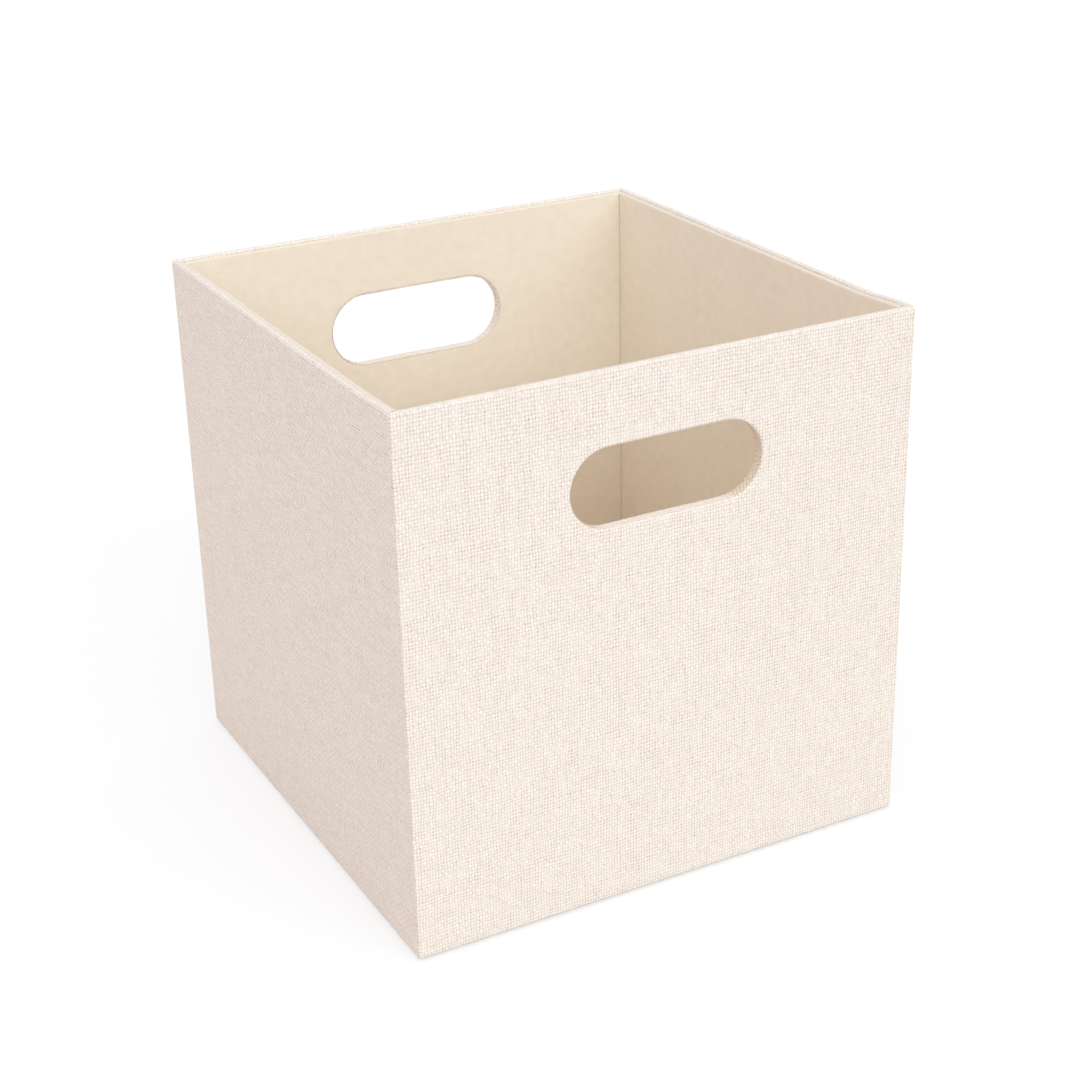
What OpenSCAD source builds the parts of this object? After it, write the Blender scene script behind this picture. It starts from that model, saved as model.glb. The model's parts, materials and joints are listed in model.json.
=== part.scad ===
// Hard-sided fabric storage bin. Greyboard walls and base are joined by paper stays and covered in
// glued cloth, lined inner panels stand inside them, and a loose lined insert lies on the base.
// Origin at the centre of the underside, +Z up, the front wall at -Y. Millimetres.

/* [Body] */
// Width over the cover, left to right
body_w = 254; // [160:1:400]
// Depth over the cover, front to back
body_d = 254; // [160:1:400]
// Height from the underside to the top of the rim
body_h = 254; // [150:1:400]
// Outer radius of the four upright corners
corner_r = 1.3; // [0.8:0.1:1.5]
// Outer radius of the cloth rolled over the rim
rim_r = 1.2; // [0.8:0.1:1.3]
// Outer radius of the cloth turned under the base
foot_r = 2.2; // [0.9:0.1:2.4]

/* [Boards] */
// Thickness of the greyboard walls and base
board_t = 2; // [1.6:0.1:3]
// Thickness of the card in the inner panels
panel_board_t = 1.6; // [1:0.1:2.4]
// Thickness of the card in the loose base insert
insert_board_t = 2; // [1:0.1:3]

/* [Fabric and paper] */
// Thickness of the woven cover
cover_t = 0.6; // [0.45:0.05:0.8]
// Thickness of the non-woven lining
lining_t = 0.4; // [0.2:0.05:0.7]
// Thickness of the sheet under the base
underside_t = 0.5; // [0.3:0.05:1]
// Thickness of the gummed paper stays
stay_t = 0.25; // [0.1:0.05:0.5]

/* [Hand holes] */
// Clear width of a hand hole
hole_w = 95; // [70:1:120]
// Clear height of a hand hole, which is also the width of its round ends
hole_h = 37; // [25:1:50]
// From the top of the rim down to the middle of a hand hole
hole_drop = 51; // [40:1:90]
// Radius of the cover where it rolls into a hand hole
hole_edge_r = 1; // [0.6:0.1:1.4]

/* [Folds and overlaps] */
// How far the cover turns down inside the rim
rim_fold = 20; // [8:1:28]
// How far the cover turns in under the base, from the outer face
foot_fold = 18; // [10:1:40]
// How far the lining turns down behind an inner panel
panel_fold = 12; // [6:1:25]
// Radius of the lining over a panel's top edge and the insert's edges
lining_r = 0.8; // [0.5:0.05:1]
// How far the insert's lining turns in under it
insert_fold = 20; // [12:1:40]
// Leg of a paper stay
stay_leg = 16; // [10:1:30]
// From the outer face to the edge of the underside sheet
underside_inset = 7; // [4:0.5:9]

/* [Clearances] */
// Gap round an inner panel: to the rim fold, to the next panel and round the hole's cloth
panel_clear = 0.1; // [0.05:0.05:0.3]
// Gap between the cover's fold under the base and the step in the underside sheet
step_clear = 0.1; // [0.05:0.05:2]
// From the top of the rim down to the top of an inner panel
panel_drop = 1; // [0:0.1:5]
// Gap between the loose insert and the lining on each side
insert_clear = 0.8; // [0.4:0.1:3]
// Gap between the ends of neighbouring stays
stay_gap = 1; // [0.5:0.5:10]

/* [Hidden] */
$fn = 64;

// Each side is drawn as the front and named by the angle that it is then turned through
front_angle = 0;
right_angle = 90;
back_angle = 180;
left_angle = 270;
half_turn_angle = 180;
upright_angle = 90;

// How far a cut runs past the surface that it leaves
cut_over = 1;

// Depths into a wall, from the outer face of its cover
board_face = cover_t;
board_back = board_face + board_t;
wall_t = board_back + cover_t;
panel_back = wall_t + panel_clear;
panel_board_back = panel_back + lining_t;
panel_board_face = panel_board_back + panel_board_t;
panel_face = panel_board_face + lining_t;
insert_edge = panel_face + insert_clear;

// Heights of the layers in the base
cover_z = underside_t;
base_z = cover_z + cover_t;
base_top = base_z + board_t;
seat_z = base_top + stay_t;
insert_board_z = seat_z + lining_t;
insert_board_top = insert_board_z + insert_board_t;
insert_top = insert_board_top + lining_t;

// Heights at the rim and the hand holes
fold_z = body_h - rim_fold;
panel_top = body_h - panel_drop;
panel_fold_z = panel_top - panel_fold;
stay_top = fold_z - stay_gap;
hole_z = body_h - hole_drop;
hole_straight = hole_w - hole_h;

// Colours
BOARD = "#A79B8B";
CARD = "#C9BDA9";
PAPER = "#B08D62";
COVER = "#F3E7DA";
LINING = "#E2D2BA";

// True of the front and back, whose boards run the full width and have the hand holes
function is_end(side) = side % half_turn_angle == 0;

// From the middle of the bin to the outer face of a side, and half that side's length
function half_out(side) = (is_end(side) ? body_d : body_w) / 2;
function half_run(side) = (is_end(side) ? body_w : body_d) / 2;

// Turns what is drawn as the front to its side
module at_side(side) {
    rotate([0, 0, side])
        children();
}

// ---- Rounded shapes ----

// What rounding a corner at the origin takes from a shape in the first quadrant
module corner_waste(r) {
    difference() {
        translate([-cut_over, -cut_over])
            square(r + cut_over);
        translate([r, r])
            circle(r);
    }
}

// What rounding takes from the two lower corners of a shape that spans x0 to x1
module low_corners_waste(x0, x1, r) {
    translate([x0, 0])
        corner_waste(r);
    translate([x1, 0])
        mirror([1, 0])
            corner_waste(r);
}

// The same for its two upper corners, at the height top
module top_corners_waste(x0, x1, top, r) {
    translate([0, top])
        mirror([0, 1])
            low_corners_waste(x0, x1, r);
}

// Rectangle from the origin, its lower corners rounded by low_r and its upper ones by high_r
module round_rect(w, h, low_r, high_r) {
    difference() {
        square([w, h]);
        low_corners_waste(0, w, low_r);
        top_corners_waste(0, w, h, high_r);
    }
}

// Block of the bin's outline drawn in by inset, from z0 to z1, rounded on every edge
module round_block(inset, z0, z1, plan_r, low_r, high_r) {
    w = body_w - 2 * inset;
    d = body_d - 2 * inset;
    h = z1 - z0;
    intersection() {
        translate([-w / 2, -d / 2, z0])
            linear_extrude(h)
                round_rect(w, d, plan_r, plan_r);
        translate([-w / 2, d / 2, z0])
            rotate([upright_angle, 0, 0])
                linear_extrude(d)
                    round_rect(w, h, low_r, high_r);
        translate([-w / 2, -d / 2, z0])
            rotate([upright_angle, 0, upright_angle])
                linear_extrude(w)
                    round_rect(d, h, low_r, high_r);
    }
}

// Square-cornered block of the bin's outline drawn in by inset
module block(inset, z0, z1) {
    w = body_w - 2 * inset;
    d = body_d - 2 * inset;
    translate([-w / 2, -d / 2, z0])
        cube([w, d, z1 - z0]);
}

// Extrudes a section drawn with depth from the outer face as x and height as y
// along a side, reach to each side of its middle
module along(side, reach) {
    at_side(side)
        translate([-reach, -half_out(side), 0])
            rotate([upright_angle, 0, upright_angle])
                linear_extrude(2 * reach)
                    children();
}

// ---- Hand holes ----

// Outline of a hand hole, wider by grow all round
module hole_outline(grow) {
    square([hole_straight, hole_h + 2 * grow], center = true);
    for (end = [-1, 1])
        translate([end * hole_straight / 2, 0])
            circle(hole_h / 2 + grow);
}

// Prism of the hand hole at an end wall, between two depths from the outer face
module hole_prism(side, grow, from_depth, to_depth) {
    at_side(side)
        translate([0, to_depth - half_out(side), hole_z])
            rotate([upright_angle, 0, 0])
                linear_extrude(to_depth - from_depth)
                    hole_outline(grow);
}

// What the rolled edge of the cover takes off round the hand hole's outer mouth
module hole_roll(side) {
    for (upper = [0, 1])
        along(side, hole_straight / 2)
            translate([0, hole_z + (upper - 0.5) * hole_h])
                mirror([0, 1 - upper])
                    corner_waste(hole_edge_r);
    for (end = [-1, 1])
        at_side(side)
            translate([end * hole_straight / 2, -half_out(side), hole_z])
                rotate([upright_angle, 0, 0])
                    rotate_extrude()
                        translate([hole_h / 2, 0])
                            mirror([0, 1])
                                corner_waste(hole_edge_r);
}

// ---- Greyboard body ----

// Section of a wall board, rounded only where the cover turns under it
module wall_board_section() {
    difference() {
        translate([board_face, base_z])
            square([board_t, body_h - cover_t - base_z]);
        translate([board_face, base_z])
            corner_waste(foot_r - cover_t);
    }
}

// Wall board: the front and back boards run the full width, the side boards stand between them
module wall_board(side) {
    reach = half_run(side) - (is_end(side) ? board_face : board_back);
    color(BOARD)
        difference() {
            along(side, reach)
                wall_board_section();
            if (is_end(side)) {
                hole_prism(side, cover_t, 0, panel_face);
                board_foot_corners(side);
            }
        }
}

// What comes off the lower end corners of a front or back board, for the side covers to turn under
module board_foot_corners(side) {
    for (right = [0, 1])
        at_side(side)
            mirror([right, 0, 0])
                translate([board_face - half_run(side), board_back - half_out(side) + cut_over, base_z])
                    rotate([upright_angle, 0, 0])
                        linear_extrude(board_t + 2 * cut_over)
                            corner_waste(foot_r - cover_t);
}

// Base board, inside the four walls and level with their lower edges
module base_board() {
    color(BOARD)
        block(board_back, base_z, base_top);
}

// ---- Paper stays ----

// Upright angle in the corner that follows a side
module corner_stay(side) {
    color(PAPER)
        at_side(side)
            translate([half_run(side) - board_back, board_back - half_out(side), base_top])
                mirror([1, 0, 0])
                    linear_extrude(stay_top - base_top)
                        stay_section();
}

// Angle along the foot of a wall, between two corner stays. The panels and the insert stand on it
module base_stay(side) {
    color(PAPER)
        along(side, half_run(side) - board_back - stay_leg - stay_gap)
            translate([board_back, base_top])
                stay_section();
}

// Section of a stay, folded from one strip of paper
module stay_section() {
    square([stay_leg, stay_t]);
    square([stay_t, stay_leg]);
}

// ---- Woven cover ----

// Section of the cover: under the base, up the outer face, over the rim and down inside
module cover_section() {
    difference() {
        translate([0, cover_z])
            square([wall_t, body_h - cover_z]);
        translate([0, cover_z])
            corner_waste(foot_r);
        top_corners_waste(0, wall_t, body_h, rim_r);
        wall_board_section();
        translate([board_back, cover_z - cut_over])
            square([cover_t + cut_over, fold_z - cover_z + cut_over]);
    }
    translate([board_back, cover_z])
        square([foot_fold - board_back, cover_t]);
}

// Plan of one side's cover, mitred at both ends
module mitred_band(side) {
    run = half_run(side);
    out = half_out(side);
    polygon([
        [-run - cut_over, -out - cut_over],
        [run + cut_over, -out - cut_over],
        [run - foot_fold - cut_over, -out + foot_fold + cut_over],
        [-run + foot_fold + cut_over, -out + foot_fold + cut_over]
    ]);
}

// What rounding takes off the upright edge at each end of a side's cover
module upright_rounding(side) {
    for (right = [0, 1])
        at_side(side)
            mirror([right, 0, 0])
                translate([-half_run(side), -half_out(side), -cut_over])
                    linear_extrude(body_h + 2 * cut_over)
                        corner_waste(corner_r);
}

// One side's cover. At the front and back it also turns in through the hand hole
module cover(side) {
    color(COVER)
        difference() {
            union() {
                intersection() {
                    along(side, half_run(side))
                        cover_section();
                    at_side(side)
                        linear_extrude(body_h + cut_over)
                            mitred_band(side);
                }
                if (is_end(side))
                    hole_prism(side, cover_t, board_face / 2, panel_face);
            }
            upright_rounding(side);
            if (is_end(side)) {
                hole_prism(side, 0, -cut_over, panel_face + cut_over);
                hole_roll(side);
            }
        }
}

// Sheet under the base: it lies on the folds round the edge and steps up to the board inside them
module underside_sheet() {
    step_in = foot_fold + step_clear;
    color(LINING)
        difference() {
            union() {
                block(underside_inset, 0, underside_t);
                block(step_in, 0, base_z);
            }
            block(step_in + underside_t, -cut_over, base_z - underside_t);
        }
}

// ---- Lined inner panels ----

// Half length of an inner panel: the front and back ones run wall to wall, the others between them
function panel_reach(side) =
    half_run(side) - (is_end(side) ? wall_t : panel_face) - panel_clear;

// Section of the card in an inner panel
module panel_board_section() {
    card_top = panel_top - lining_t;
    difference() {
        translate([panel_board_back, seat_z])
            square([panel_board_t, card_top - seat_z]);
        top_corners_waste(panel_board_back, panel_board_face, card_top, lining_r - lining_t);
    }
}

// Section of the lining: down the face, over the top and a short way down the back
module lining_section() {
    difference() {
        translate([panel_back, seat_z])
            square([panel_face - panel_back, panel_top - seat_z]);
        top_corners_waste(panel_back, panel_face, panel_top, lining_r);
        panel_board_section();
        translate([0, seat_z - cut_over])
            square([panel_board_back, panel_fold_z - seat_z + cut_over]);
    }
}

// Cuts an inner panel's piece to clear the cloth turned in through the hand hole
module clear_of_hole(side) {
    difference() {
        children();
        if (is_end(side))
            hole_prism(side, cover_t + panel_clear, 0, panel_face + cut_over);
    }
}

// Card of one inner panel
module panel_board(side) {
    color(CARD)
        clear_of_hole(side)
            along(side, panel_reach(side))
                panel_board_section();
}

// Lining of one inner panel
module lining(side) {
    color(LINING)
        clear_of_hole(side)
            along(side, panel_reach(side))
                lining_section();
}

// ---- Loose base insert ----

// Shape of the insert's card
module insert_card() {
    edge_r = lining_r - lining_t;
    round_block(
        insert_edge + lining_t, insert_board_z, insert_board_top,
        edge_r, edge_r, edge_r
    );
}

// Card of the insert
module insert_board() {
    color(CARD)
        insert_card();
}

// Lining over the insert's top and edges, turned in under it
module insert_lining() {
    color(LINING)
        difference() {
            round_block(insert_edge, seat_z, insert_top, lining_r, lining_r, lining_r);
            insert_card();
            block(insert_edge + insert_fold, seat_z - cut_over, insert_board_z);
        }
}

wall_board(front_angle);  // front_board
wall_board(right_angle);  // right_board
wall_board(back_angle);  // back_board
wall_board(left_angle);  // left_board
base_board();
corner_stay(front_angle);  // corner_stay_front_right
corner_stay(right_angle);  // corner_stay_back_right
corner_stay(back_angle);  // corner_stay_back_left
corner_stay(left_angle);  // corner_stay_front_left
base_stay(front_angle);  // base_stay_front
base_stay(right_angle);  // base_stay_right
base_stay(back_angle);  // base_stay_back
base_stay(left_angle);  // base_stay_left
cover(front_angle);  // front_cover
cover(right_angle);  // right_cover
cover(back_angle);  // back_cover
cover(left_angle);  // left_cover
underside_sheet();
panel_board(front_angle);  // front_panel_board
panel_board(right_angle);  // right_panel_board
panel_board(back_angle);  // back_panel_board
panel_board(left_angle);  // left_panel_board
lining(front_angle);  // front_lining
lining(right_angle);  // right_lining
lining(back_angle);  // back_lining
lining(left_angle);  // left_lining
insert_board();
insert_lining();
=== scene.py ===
import json
import math

import bmesh
import bpy
import numpy as np
from mathutils import Matrix, Vector


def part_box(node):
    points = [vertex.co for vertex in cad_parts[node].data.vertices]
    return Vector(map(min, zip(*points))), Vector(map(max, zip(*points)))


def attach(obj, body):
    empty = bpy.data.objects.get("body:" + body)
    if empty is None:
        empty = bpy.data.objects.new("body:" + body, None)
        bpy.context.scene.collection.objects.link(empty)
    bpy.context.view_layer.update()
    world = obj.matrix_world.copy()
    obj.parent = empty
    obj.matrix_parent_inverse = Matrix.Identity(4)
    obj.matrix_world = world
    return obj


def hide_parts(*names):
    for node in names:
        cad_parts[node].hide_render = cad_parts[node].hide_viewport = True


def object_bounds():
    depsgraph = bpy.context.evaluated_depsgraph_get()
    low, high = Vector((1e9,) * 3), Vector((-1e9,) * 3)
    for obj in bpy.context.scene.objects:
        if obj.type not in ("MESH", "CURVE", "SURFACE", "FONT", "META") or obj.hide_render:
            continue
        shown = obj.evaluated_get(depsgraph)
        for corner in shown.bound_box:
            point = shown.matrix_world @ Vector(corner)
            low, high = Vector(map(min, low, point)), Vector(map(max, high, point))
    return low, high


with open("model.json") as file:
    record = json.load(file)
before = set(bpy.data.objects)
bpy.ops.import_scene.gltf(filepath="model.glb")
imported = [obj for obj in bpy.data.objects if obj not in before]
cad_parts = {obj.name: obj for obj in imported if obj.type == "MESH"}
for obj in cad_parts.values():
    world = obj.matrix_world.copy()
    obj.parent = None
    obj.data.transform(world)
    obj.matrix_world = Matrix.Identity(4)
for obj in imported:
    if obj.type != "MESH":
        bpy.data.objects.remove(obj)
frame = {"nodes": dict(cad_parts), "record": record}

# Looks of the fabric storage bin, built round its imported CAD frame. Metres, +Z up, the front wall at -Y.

cad_low, cad_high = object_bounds()

MM = 0.001
RIGHT_ANGLE = math.pi / 2


# --------------------------------------------------
# Sizes
# --------------------------------------------------

# Each side is built as the front and turned by its angle
SIDES = {"front": 0, "right": 90, "back": 180, "left": 270}
ENDS = ("front", "back")

# Radii and folds, as in the part's source
RIM_R = 1.2 * MM
FOOT_R = 2.2 * MM
CORNER_R = 1.3 * MM
HOLE_EDGE_R = 1.0 * MM
RIM_FOLD = 20 * MM
FOOT_FOLD = 18 * MM
LINING_R = 0.8 * MM
PANEL_FOLD = 12 * MM
INSERT_FOLD = 20 * MM

# How far the cloth's roll stands over the boards' top edges: a little, most on the left, and more along the
# front, where it grows to the right. The front's share begins and is full at these distances in front.
RIM_RISE = 0.14 * MM
FRONT_RISE = 1.15 * MM
FRONT_GROWTH = 0.35
FRONT_FROM, FRONT_FULL = 90 * MM, 121 * MM

# How far below the top the roll begins to rise and is fully risen
RISE_FROM, RISE_FULL = 26 * MM, 2 * MM

# The weave: distance between neighbouring yarns
WARP_PITCH = 1.41 * MM
WEFT_PITCH = 1.67 * MM

WIDTH, DEPTH, HEIGHT = cad_high - cad_low


def turned(side):
    """The matrix that turns the front into a side."""
    angle = math.radians(SIDES[side])
    c, s = math.cos(angle), math.sin(angle)
    return np.array([[c, -s, 0], [s, c, 0], [0, 0, 1]])


def half_out(side):
    """From the middle of the bin to the outer face of a side."""
    return (DEPTH if side in ENDS else WIDTH) / 2


def half_run(side):
    """Half the length of a side."""
    return (WIDTH if side in ENDS else DEPTH) / 2


def risen(points):
    """Points near the rim lifted, as the cloth there rolls over loosely, most along the front."""
    x, y, z = points[..., 0], points[..., 1], points[..., 2]
    to_right = x / (WIDTH / 2)
    at_front = smooth(-y, FRONT_FROM, FRONT_FULL)
    rise = RIM_RISE * (1 - to_right) + FRONT_RISE * (1 + FRONT_GROWTH * to_right) * at_front
    out = points.copy()
    out[..., 2] += rise * smooth(z, HEIGHT - RISE_FROM, HEIGHT - RISE_FULL)
    return out


def placed(side, points):
    """Points of a side, as (along, depth into the wall, height), in the row frame."""
    points = points - np.array([0, half_out(side), 0])
    return points @ turned(side).T


def side_box(side, node):
    """A node's lowest and highest (along, depth, height), in the frame of a side."""
    corners = np.array(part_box(node)) @ turned(side)
    corners[:, 1] += half_out(side)
    return corners.min(0), corners.max(0)


def hole_in(node):
    """Middle height, width and height of the hand hole through a wall's board."""
    points = np.array([v.co for v in frame["nodes"][node].data.vertices])
    low, high = points.min(0), points.max(0)
    inside = (points[:, [0, 2]] > low[[0, 2]] + 30 * MM) & (points[:, [0, 2]] < high[[0, 2]] - 12 * MM)
    ring = points[inside.all(1)]
    width, height = np.ptp(ring[:, 0]), np.ptp(ring[:, 2])
    return ring[:, 2].min() + height / 2, width, height


board_low, board_high = side_box("front", "front_board")
card_low, _ = side_box("front", "front_panel_board")
panel_low, panel_high = side_box("front", "front_lining")
COVER_T = board_low[1]
WALL_T = board_high[1] + COVER_T
LINING_T = card_low[1] - panel_low[1]
PANEL_FACE = panel_high[1]
COVER_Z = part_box("front_cover")[0].z

HOLE_Z, board_hole_w, board_hole_h = hole_in("front_board")
HOLE_R = board_hole_h / 2 - COVER_T
HOLE_STRAIGHT = (board_hole_w - board_hole_h) / 2

# The rectangle round the hand hole where a wall's grid gives way to rings round the hole
HOLE_FRAME = 7 * MM
FRAME_TOP, FRAME_LOW = HOLE_Z + HOLE_R + HOLE_FRAME, HOLE_Z - HOLE_R - HOLE_FRAME
FRAME_REACH = HOLE_STRAIGHT + HOLE_R + HOLE_FRAME


# --------------------------------------------------
# Meshes of cloth
# --------------------------------------------------


# Points closer than this are one
WELD = 0.002 * MM


class Cloth:
    """One cloth as a closed mesh: its shown side, its back a thickness away and the cut edge between.

    Each point also has its place on the flat cut, which the weave and the texture map follow.
    """

    def __init__(self):
        self.shown, self.back, self.flat, self.strain, self.quads = [], [], [], [], []
        self.count = 0

    def points(self, shown, back, flat, strain=0.0):
        """Adds a grid of points and returns the same grid of their numbers."""
        grid = shown.shape[:-1]
        numbers = self.count + np.arange(math.prod(grid)).reshape(grid)
        self.shown.append(shown.reshape(-1, 3))
        self.back.append(back.reshape(-1, 3))
        self.flat.append(flat.reshape(-1, 2))
        self.strain.append(np.broadcast_to(strain, grid).ravel())
        self.count += numbers.size
        return numbers

    def span(self, numbers, keep=None, closed=False):
        """Joins neighbouring rows and columns with faces, all of them or those that keep marks."""
        after = np.roll(numbers, -1, 1)
        quads = np.stack([numbers[:-1], after[:-1], after[1:], numbers[1:]], -1)
        if not closed:
            quads = quads[:, :-1]
        self.quads.append(quads.reshape(-1, 4) if keep is None else quads[keep])

    def flat_size(self):
        """Width, length and area of the cut."""
        flat = np.concatenate(self.flat)
        quads = np.concatenate(self.quads)
        used = flat[np.unique(quads)]
        a, b, c, d = (flat[quads[:, k]] for k in range(4))
        across, along = c - a, d - b
        area = np.abs(across[:, 0] * along[:, 1] - across[:, 1] * along[:, 0]).sum() / 2
        width, length = np.ptp(used, axis=0)
        return float(width), float(length), float(area)

    def build(self, name, place, turned_weave=False):
        """Makes the object. place takes points to the row frame."""
        shown, back = np.concatenate(self.shown), np.concatenate(self.back)
        flat = np.concatenate(self.flat)
        quads = np.concatenate(self.quads)
        count = len(shown)

        sides = np.stack([quads, np.roll(quads, -1, 1)], -1).reshape(-1, 2)
        _, first, uses = np.unique(np.sort(sides, 1), axis=0, return_index=True, return_counts=True)
        cut = sides[first[uses == 1]]
        # Edges that lie twice in one place are no cut: two grids meet there
        middle = np.concatenate([shown[cut].mean(1), back[cut].mean(1)], 1)
        apart = np.abs(middle[:, None] - middle[None]).max(-1)
        cut = cut[(apart < WELD).sum(1) == 1]
        edge = np.stack([cut[:, 1], cut[:, 0], cut[:, 0] + count, cut[:, 1] + count], -1)
        faces = np.concatenate([quads, quads[:, ::-1] + count, edge])

        mesh = bpy.data.meshes.new(name)
        mesh.from_pydata(np.concatenate([place(shown), place(back)]).tolist(), [], faces.tolist())
        cloth = np.zeros((2 * count, 3), np.float32)
        cloth[:, :2] = np.tile(flat[:, ::-1] if turned_weave else flat, (2, 1))
        mesh.attributes.new("cloth", "FLOAT_VECTOR", "POINT").data.foreach_set("vector", cloth.ravel())
        # Strain of the cloth, also painted shade on the rim and along the linings' top edges
        strain = np.tile(np.concatenate(self.strain), 2).astype(np.float32)
        mesh.attributes.new("strain", "FLOAT", "POINT").data.foreach_set("value", strain)

        used = flat[np.unique(quads)]
        unit = (flat - used.min(0)) / np.ptp(used, axis=0)
        self.lay_out(mesh, unit, quads, edge)

        tidy = bmesh.new()
        tidy.from_mesh(mesh)
        bmesh.ops.remove_doubles(tidy, verts=tidy.verts, dist=WELD)
        loose = [v for v in tidy.verts if not v.link_faces]
        bmesh.ops.delete(tidy, geom=loose, context="VERTS")
        bmesh.ops.recalc_face_normals(tidy, faces=tidy.faces)
        tidy.to_mesh(mesh)
        tidy.free()
        mesh.polygons.foreach_set("use_smooth", np.ones(len(mesh.polygons), bool))
        mesh.set_sharp_from_angle(angle=math.radians(50))

        piece = bpy.data.objects.new(name, mesh)
        bpy.context.scene.collection.objects.link(piece)
        return piece

    @staticmethod
    def lay_out(mesh, unit, quads, edge):
        """The map for baked textures: the shown side large, the back and the cut edge in thin strips."""
        shown_share, back_from, back_share, edge_from, edge_share = 0.955, 0.96, 0.02, 0.985, 0.012
        strip = np.arange(len(edge)) / len(edge)
        step = 1 / len(edge)
        across = strip[:, None] + np.array([0, step, step, 0])
        up = np.array([edge_from, edge_from, edge_from + edge_share, edge_from + edge_share])
        corners = np.stack(np.broadcast_arrays(across, up), -1)
        shown = unit[quads] * [1, shown_share]
        back = unit[quads[:, ::-1]] * [1, back_share] + [0, back_from]
        uv = np.concatenate([shown, back, corners]).astype(np.float32)
        mesh.uv_layers.new(name="OFBake").uv.foreach_set("vector", uv.ravel())


def line(start, end, normal, stops, thickness):
    """Rows of a profile on a straight line: two coordinates, the shown side's normal and the thickness."""
    at = np.array(start) + np.outer(stops, np.subtract(end, start))
    return np.column_stack([at, np.tile(normal, (len(stops), 1)), np.full(len(stops), thickness)])


def arc(centre, radius, first, last, count, thickness):
    """Rows of a profile on an arc between two angles, in degrees, 0 along the first coordinate."""
    angles = np.radians(np.linspace(first, last, count))
    normal = np.column_stack([np.cos(angles), np.sin(angles)])
    return np.column_stack([np.array(centre) + radius * normal, normal, np.full(count, thickness)])


def joined(*parts):
    """The parts of a profile as one, without the points that they share, and the run along it."""
    rows = np.concatenate(parts)
    step = np.linalg.norm(np.diff(rows[:, :2], axis=0), axis=1)
    kept = np.concatenate([[True], step > 1e-7])
    rows = rows[kept]
    run = np.concatenate([[0], np.cumsum(np.linalg.norm(np.diff(rows[:, :2], axis=0), axis=1))])
    return rows, run


def even(count):
    """Stops from 0 to 1, evenly spaced."""
    return np.linspace(0, 1, count)


def eased(count, power=1.8):
    """Stops from 0 to 1, closer together near 0."""
    return np.linspace(0, 1, count) ** power


def smooth(x, low, high):
    """0 below low, 1 above high, and a smooth step between."""
    t = np.clip((x - low) / (high - low), 0, 1)
    return t * t * (3 - 2 * t)


def relief(flat):
    """Height of a plain weave at places on the flat cut, about -0.6 in a pit to 1 on a float."""
    u, v = flat[..., 0] / WARP_PITCH, flat[..., 1] / WEFT_PITCH
    i, j = np.floor(u), np.floor(v)
    across, along = u - i - 0.5, v - j - 0.5
    sign = 1 - 2 * np.mod(i + j, 2)
    warp = np.sqrt(np.clip(1 - (across / 0.5) ** 2, 0, 1)) * (1.1 + 0.5 * sign * np.cos(np.pi * along))
    weft = np.sqrt(np.clip(1 - (along / 0.5) ** 2, 0, 1)) * (1.1 - 0.5 * sign * np.cos(np.pi * across))
    return np.maximum(warp, weft) - 0.6


def ripple(x, seed, waves=5):
    """A slow, seeded waviness between about -1 and 1 along a length in metres."""
    draw = np.random.default_rng(seed)
    total = np.zeros_like(x)
    for k in range(1, waves + 1):
        phase, size = draw.uniform(0, 2 * np.pi), draw.uniform(0.4, 1) / k
        total += size * np.sin(2 * np.pi * k * x / 0.21 + phase)
    return total / 1.6


# --------------------------------------------------
# The woven cover
# --------------------------------------------------

# How far the cloth stands off the board in the middle of each wall's top edge
COVER_BOW = {"front": 0.25 * MM, "right": 0.3 * MM, "back": 0.3 * MM, "left": 0.35 * MM}
# Where the bow is held, by depth into the wall, and its share there
BOW_DEPTHS = [0.6 * MM, 2.6 * MM, 3.2 * MM, 5 * MM]
BOW_SHARES = [1, 0.6, 0.6, 0]
# The yarns' raised relief: its size, the level that lies on the cloth's face, and where it fades in below
# the rim and above the foot
RELIEF = 0.07 * MM
RELIEF_LEVEL = 0.3
RELIEF_TOP_FROM, RELIEF_TOP_FULL = 12 * MM, 5 * MM
RELIEF_FOOT_FROM, RELIEF_FOOT_FULL = 6 * MM, 2 * MM
RIM_WAVE = 0.12 * MM
RIM_BAND = 8 * MM
# Strength of the rim's mark: pressed cloth whose gaps close, and painted shade that darkens and cools the
# rim's top
RIM_PRESS_AND_SHADE = 0.5
# The slit between a side cover and the front or back one, and how the cloth dips towards it
SEAM_GAP = 0.12 * MM
SEAM_DIP = 0.22 * MM
SEAM_REACH = 0.6 * MM
# The folded bottom corners lie on a ball: a larger one would let the boards show through
CORNER_BALL_R = 1.8 * MM
END_R = 0.35 * MM
COLUMN = WARP_PITCH / 2
COVER_HOLE_ROWS = 34
# How uneven a hand hole's outline is, and how far its turned ends are worn open
HOLE_UNEVEN = 0.17 * MM
HOLE_WEAR = {"front": 1.0, "back": 0.0}


def cover_rows():
    """A wall's profile as (depth, height), from its fold inside the rim to its fold under the base."""
    top = HEIGHT - RIM_R
    foot = COVER_Z + FOOT_R
    inner = WALL_T - RIM_R
    t = COVER_T
    rows, run = joined(
        line((WALL_T, HEIGHT - RIM_FOLD), (WALL_T, top), (1, 0), 1 - eased(8)[::-1], t),
        arc((inner, top), RIM_R, 0, 90, 8, t),
        line((inner, HEIGHT), (RIM_R, HEIGHT), (0, 1), even(3), t),
        arc((RIM_R, top), RIM_R, 90, 180, 9, t),
        line((0, top), (0, FRAME_TOP), (-1, 0), eased(14), t),
        line((0, FRAME_TOP), (0, FRAME_LOW), (-1, 0), even(COVER_HOLE_ROWS), t),
        line((0, FRAME_LOW), (0, foot), (-1, 0), 1 - (1 - even(34)) ** 1.3, t),
        arc((FOOT_R, foot), FOOT_R, 180, 270, 9, t),
        line((FOOT_R, COVER_Z), (FOOT_FOLD, COVER_Z), (0, -1), eased(7), t),
    )
    on_face = np.argmin(np.abs(rows[:, 1] - FRAME_TOP) + np.abs(rows[:, 0]))
    return rows, rows[on_face, 1] + run[on_face] - run, on_face


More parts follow.
